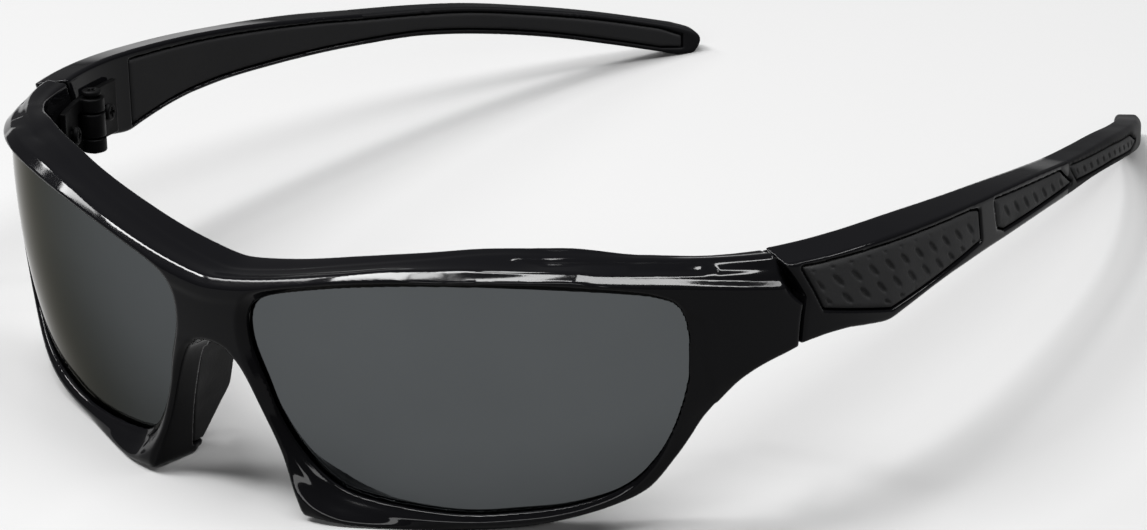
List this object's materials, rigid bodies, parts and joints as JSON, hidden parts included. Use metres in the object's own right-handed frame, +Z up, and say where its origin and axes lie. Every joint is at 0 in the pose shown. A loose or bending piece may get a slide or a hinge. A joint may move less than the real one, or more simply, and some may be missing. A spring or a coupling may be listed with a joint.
{
  "type": "glacier glasses",
  "caption": "Wraparound full-rim sports glasses with curved tinted lenses, nasal pads and folding temples with textured inlays.",
  "frame": {"origin": "on the table, under the middle of the object's bounding box, with the temples open", "axes": "+X towards the wearer's left, +Y back along the temples, +Z up; the lenses face -Y"},
  "size_m": [0.1404, 0.165, 0.0374],
  "materials": {
    "frame": "high-gloss black injection-moulded plastic",
    "lens": "smoke-tinted plastic lens with a grey mirror coating",
    "soft_pad": "matt dark grey rubber",
    "liner": "fine-textured matt black soft plastic",
    "inlay": "matt dark grey rubber with staggered dimples",
    "hinge_metal": "black-coated steel, satin"
  },
  "bodies": {
    "front": {"front_frame": "frame", "lens_left": "lens", "nose_pad_left": "soft_pad", "frame_hinge_left": "hinge_metal", "hinge_screw_left": "hinge_metal", "frame_leaf_screw_left": "hinge_metal", "lens_right": "lens", "nose_pad_right": "soft_pad", "frame_hinge_right": "hinge_metal", "hinge_screw_right": "hinge_metal", "frame_leaf_screw_right": "hinge_metal"},
    "left_arm": {"temple_left": "frame", "temple_liner_left": "liner", "inlay_front_left": "inlay", "inlay_middle_left": "inlay", "inlay_rear_left": "inlay", "temple_hinge_left": "hinge_metal", "temple_leaf_screw_left": "hinge_metal"},
    "right_arm": {"temple_right": "frame", "temple_liner_right": "liner", "inlay_front_right": "inlay", "inlay_middle_right": "inlay", "inlay_rear_right": "inlay", "temple_hinge_right": "hinge_metal", "temple_leaf_screw_right": "hinge_metal"}
  },
  "joints": [
    {"name": "temple_fold_left", "type": "hinge", "parent": "front", "child": "left_arm", "pos_m": [0.05944, -0.04133, 0.02658], "axis": [0, 0.0778, 0.997], "range_deg": [0, 85]},
    {"name": "temple_fold_right", "type": "hinge", "parent": "front", "child": "right_arm", "pos_m": [-0.05944, -0.04133, 0.02658], "axis": [0, -0.0778, -0.997], "range_deg": [0, 75]}
  ]
}
